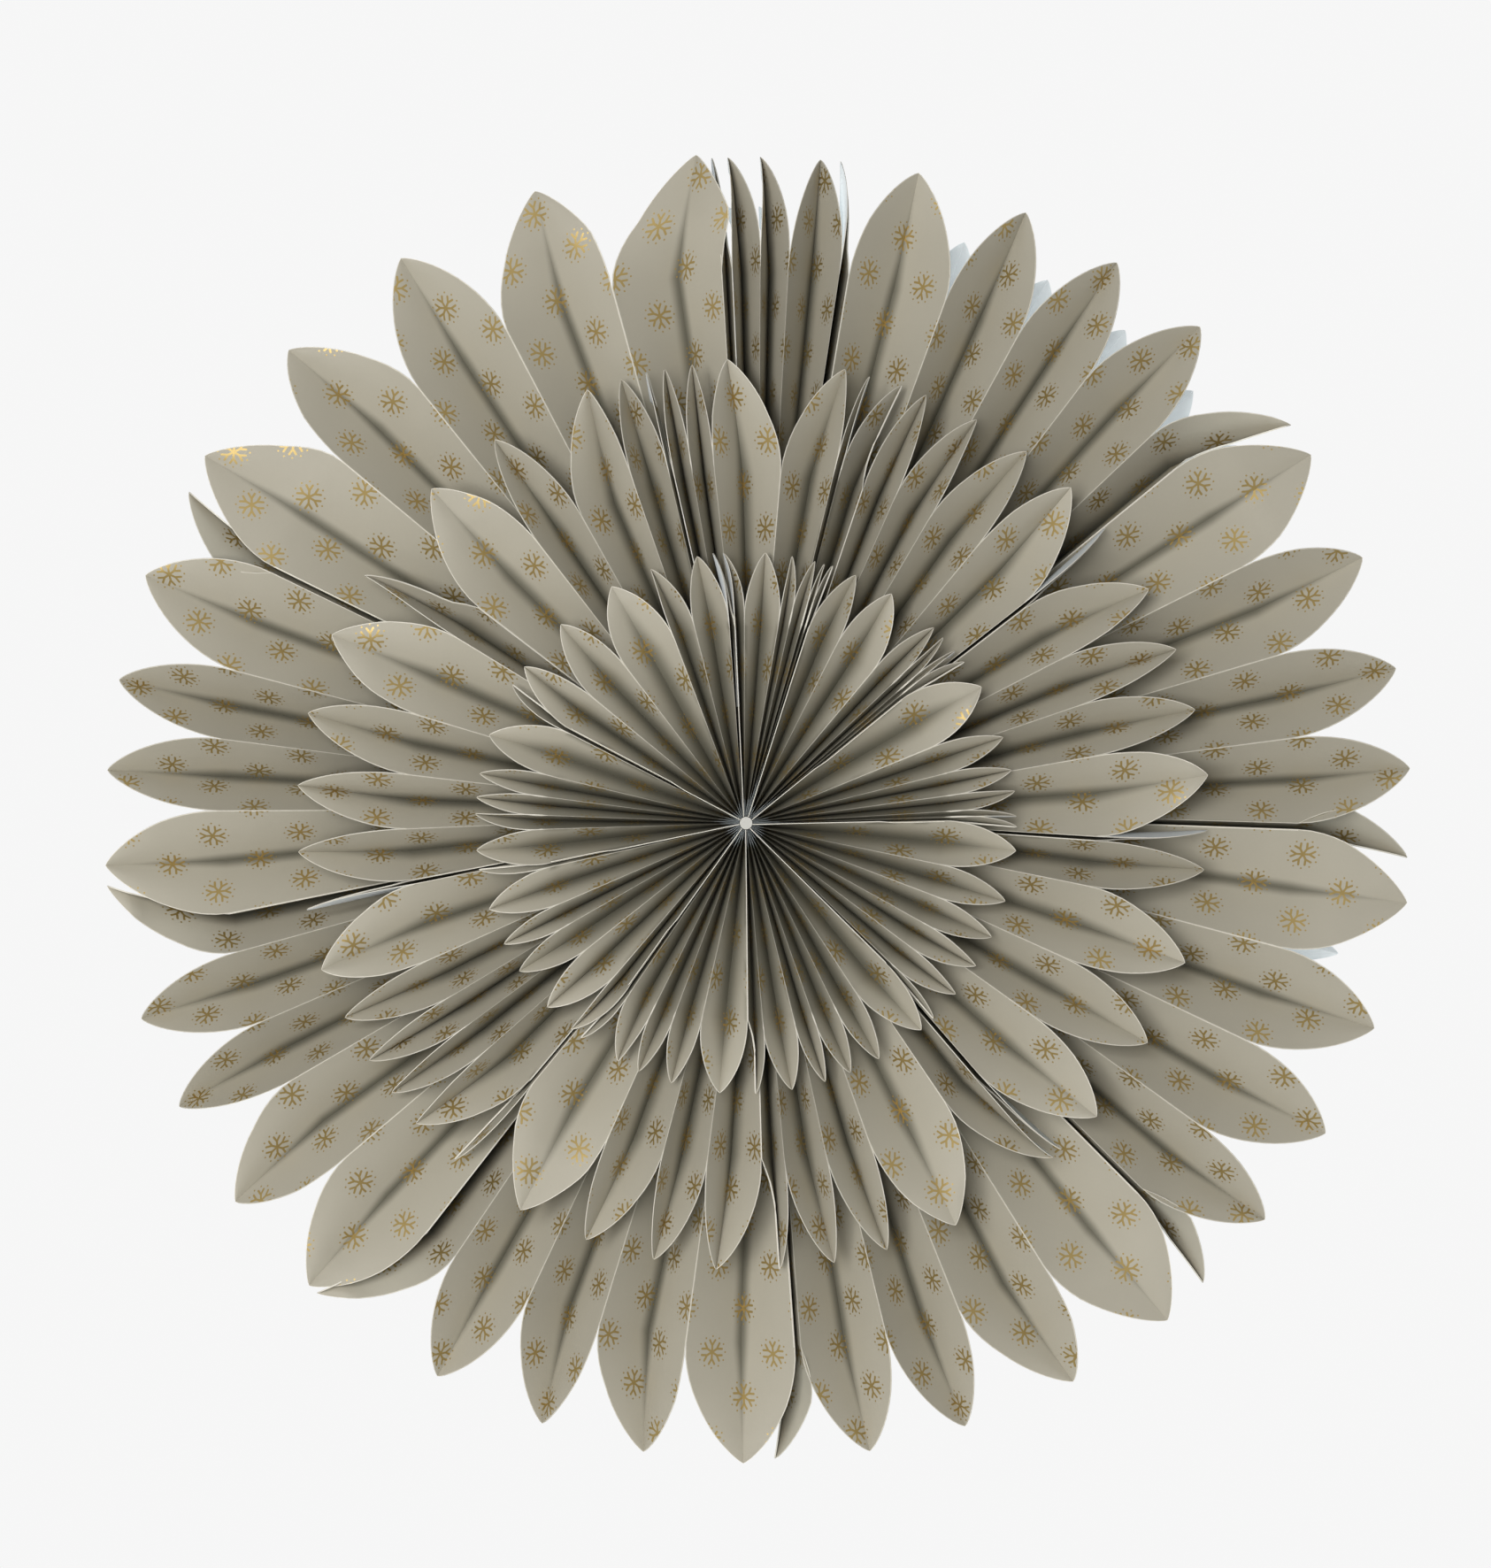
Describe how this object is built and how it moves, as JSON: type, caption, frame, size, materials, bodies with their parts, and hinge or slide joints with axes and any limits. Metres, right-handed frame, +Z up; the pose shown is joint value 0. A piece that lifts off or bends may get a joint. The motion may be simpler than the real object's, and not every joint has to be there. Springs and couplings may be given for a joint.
{
  "type": "paper advent star",
  "caption": "Hanging advent star of accordion pleated paper discs with pointed petals, one disc behind the other.",
  "frame": {"origin": "behind the middle of the outer tier, in the plane of the star's back", "axes": "+Y from the front of the star to its back, +Z up, +X to the right as seen from the front"},
  "size_m": [0.599, 0.1023, 0.5999],
  "materials": {
    "printed_paper": "matte taupe paper printed with metallic gold snowflakes, unprinted pale blue grey on the reverse",
    "seam_tape": "matte white tape",
    "thread": "whitish translucent thread"
  },
  "bodies": {
    "root": {"outer_sheet_1": "printed_paper", "outer_sheet_2": "printed_paper", "outer_sheet_3": "printed_paper", "outer_sheet_4": "printed_paper", "outer_sheet_5": "printed_paper", "outer_sheet_6": "printed_paper", "outer_sheet_7": "printed_paper", "outer_sheet_8": "printed_paper", "outer_sheet_9": "printed_paper", "middle_sheet_1": "printed_paper", "middle_sheet_2": "printed_paper", "middle_sheet_3": "printed_paper", "middle_sheet_4": "printed_paper", "middle_sheet_5": "printed_paper", "middle_sheet_6": "printed_paper", "middle_sheet_7": "printed_paper", "middle_sheet_8": "printed_paper", "middle_sheet_9": "printed_paper", "inner_sheet_1": "printed_paper", "inner_sheet_2": "printed_paper", "inner_sheet_3": "printed_paper", "inner_sheet_4": "printed_paper", "inner_sheet_5": "printed_paper", "inner_sheet_6": "printed_paper", "inner_sheet_7": "printed_paper", "inner_sheet_8": "printed_paper", "inner_sheet_9": "printed_paper", "back_sheet_1": "printed_paper", "back_sheet_2": "printed_paper", "back_sheet_3": "printed_paper", "back_sheet_4": "printed_paper", "back_sheet_5": "printed_paper", "back_sheet_6": "printed_paper", "back_sheet_7": "printed_paper", "back_sheet_8": "printed_paper", "back_sheet_9": "printed_paper", "outer_seam_tape": "seam_tape", "middle_seam_tape": "seam_tape", "inner_seam_tape": "seam_tape", "back_seam_tape": "seam_tape", "binding_thread": "thread"}
  },
  "joints": []
}
